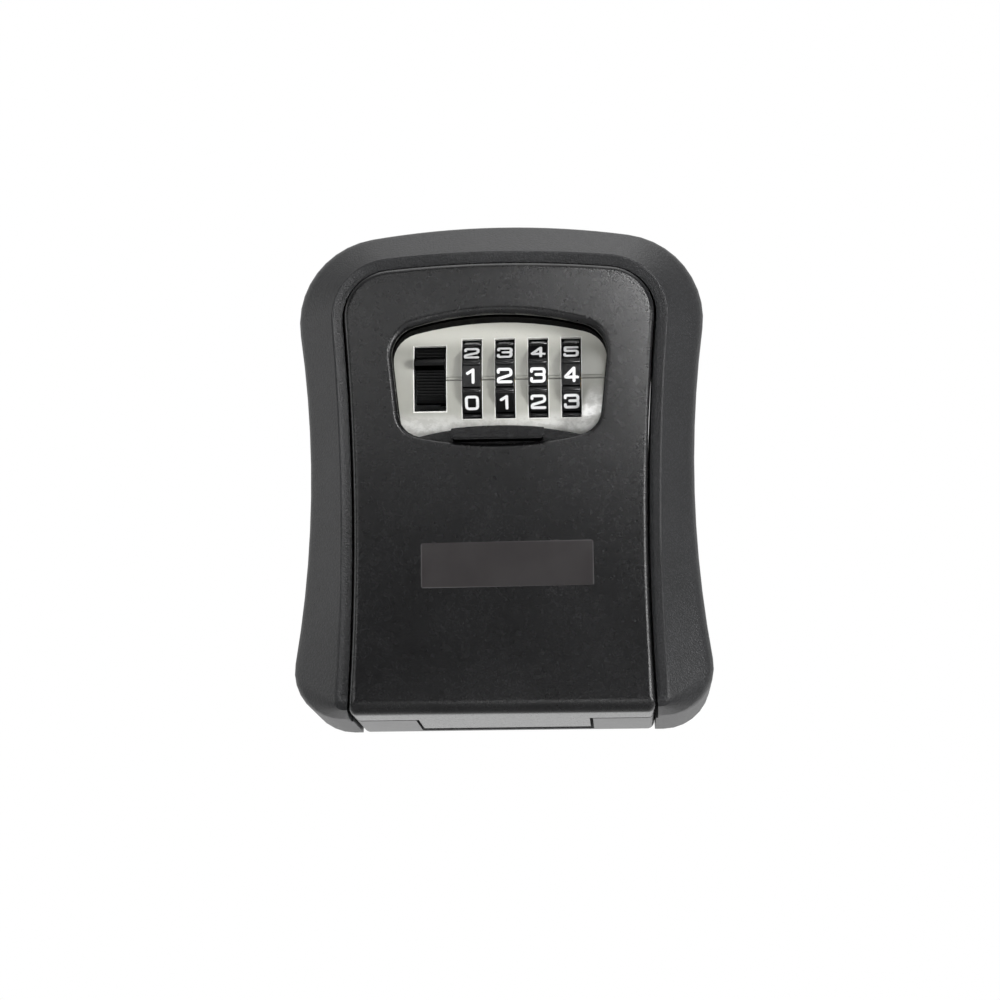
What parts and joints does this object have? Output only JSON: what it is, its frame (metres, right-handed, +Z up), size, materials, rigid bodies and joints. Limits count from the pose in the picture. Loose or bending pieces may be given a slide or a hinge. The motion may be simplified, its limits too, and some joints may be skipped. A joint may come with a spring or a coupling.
{
  "type": "combination key safe",
  "caption": "Wall-mounted key safe with a bottom-hinged door, a dial lock behind a sliding shutter, a thumb release and a waisted black surround.",
  "frame": {"origin": "centre of the four wall-screw holes, on the wall plane", "axes": "+X to the right as seen from the front, +Y into the wall, +Z up; a depth is a distance out from the wall, so the front faces -Y"},
  "size_m": [0.0948, 0.0403, 0.1145],
  "materials": {
    "cast_black": "fine satin powder coat on a zinc casting",
    "shroud_black": "matte with a fine moulded grain",
    "door_black": "satin powder coat with a leather-like grain",
    "face_grey": "warm grey satin with bright edges",
    "zinc_plate": "zinc-plated satin",
    "screw_zinc": "zinc-plated, slightly glossy",
    "pin_steel": "ground steel",
    "spring_steel": "drawn spring steel",
    "label_film": "black-brown film with a cut edge",
    "shutter_black": "half-gloss moulding",
    "slider_black": "half-matte moulding",
    "lever_black": "matte moulding",
    "dial_black": "gloss black with white filled digits",
    "cam_brass": "machined brass"
  },
  "bodies": {
    "housing": {"rear_housing": "cast_black", "surround": "shroud_black", "surround_screws": "screw_zinc", "hinge_pin": "pin_steel", "strike_plate": "zinc_plate", "strike_screws": "screw_zinc"},
    "door": {"door_cover": "door_black", "lock_face": "face_grey", "lock_case": "zinc_plate", "lock_case_screws": "screw_zinc", "shutter_guard": "zinc_plate", "guard_screws": "screw_zinc", "detent_spring": "spring_steel", "detent_screws": "screw_zinc", "label": "label_film", "latch_spring": "spring_steel", "shaft_spring": "spring_steel"},
    "latch": {"release_slider": "slider_black", "latch_plate": "zinc_plate", "latch_screw": "screw_zinc"},
    "shutter": {"shutter": "shutter_black"},
    "change": {"change_lever": "lever_black", "dial_shaft": "pin_steel", "shaft_clip": "spring_steel", "cam_spacers": "pin_steel"},
    "dial_1": {"dial_1": "dial_black"},
    "cam_1": {"cam_1": "cam_brass"},
    "dial_2": {"dial_2": "dial_black"},
    "cam_2": {"cam_2": "cam_brass"},
    "dial_3": {"dial_3": "dial_black"},
    "cam_3": {"cam_3": "cam_brass"},
    "dial_4": {"dial_4": "dial_black"},
    "cam_4": {"cam_4": "cam_brass"}
  },
  "joints": [
    {"name": "door_hinge", "type": "hinge", "parent": "housing", "child": "door", "pos_m": [0, -0.008, -0.053], "axis": [1, 0, 0], "range_deg": [0, 95]},
    {"name": "latch_slide", "type": "slide", "parent": "door", "child": "latch", "axis": [0, 0, -1], "range_m": [0, 0.0035], "stiffness_N_per_m": 400, "springref_m": -0.004, "deforming": ["latch_spring"]},
    {"name": "shutter_slide", "type": "slide", "parent": "door", "child": "shutter", "axis": [0, 0, 1], "range_m": [0, 0.026]},
    {"name": "change_slide", "type": "slide", "parent": "door", "child": "change", "axis": [1, 0, 0], "range_m": [0, 0.0016], "stiffness_N_per_m": 400, "springref_m": -0.003, "deforming": ["shaft_spring"]},
    {"name": "dial_1_turn", "type": "hinge", "parent": "door", "child": "dial_1", "pos_m": [-0.0065, -0.02465, 0.02], "axis": [1, 0, 0], "continuous": true},
    {"name": "cam_1_turn", "type": "hinge", "parent": "change", "child": "cam_1", "pos_m": [-0.0065, -0.02465, 0.02], "axis": [1, 0, 0], "continuous": true},
    {"name": "dial_2_turn", "type": "hinge", "parent": "door", "child": "dial_2", "pos_m": [0.00108, -0.02465, 0.02], "axis": [1, 0, 0], "continuous": true},
    {"name": "cam_2_turn", "type": "hinge", "parent": "change", "child": "cam_2", "pos_m": [0.00108, -0.02465, 0.02], "axis": [1, 0, 0], "continuous": true},
    {"name": "dial_3_turn", "type": "hinge", "parent": "door", "child": "dial_3", "pos_m": [0.00866, -0.02465, 0.02], "axis": [1, 0, 0], "continuous": true},
    {"name": "cam_3_turn", "type": "hinge", "parent": "change", "child": "cam_3", "pos_m": [0.00866, -0.02465, 0.02], "axis": [1, 0, 0], "continuous": true},
    {"name": "dial_4_turn", "type": "hinge", "parent": "door", "child": "dial_4", "pos_m": [0.01624, -0.02465, 0.02], "axis": [1, 0, 0], "continuous": true},
    {"name": "cam_4_turn", "type": "hinge", "parent": "change", "child": "cam_4", "pos_m": [0.01624, -0.02465, 0.02], "axis": [1, 0, 0], "continuous": true}
  ],
  "couplings": [
    {"joint": "cam_1_turn", "follows": "dial_1_turn", "ratio": 1},
    {"joint": "cam_2_turn", "follows": "dial_2_turn", "ratio": 1},
    {"joint": "cam_3_turn", "follows": "dial_3_turn", "ratio": 1},
    {"joint": "cam_4_turn", "follows": "dial_4_turn", "ratio": 1}
  ]
}
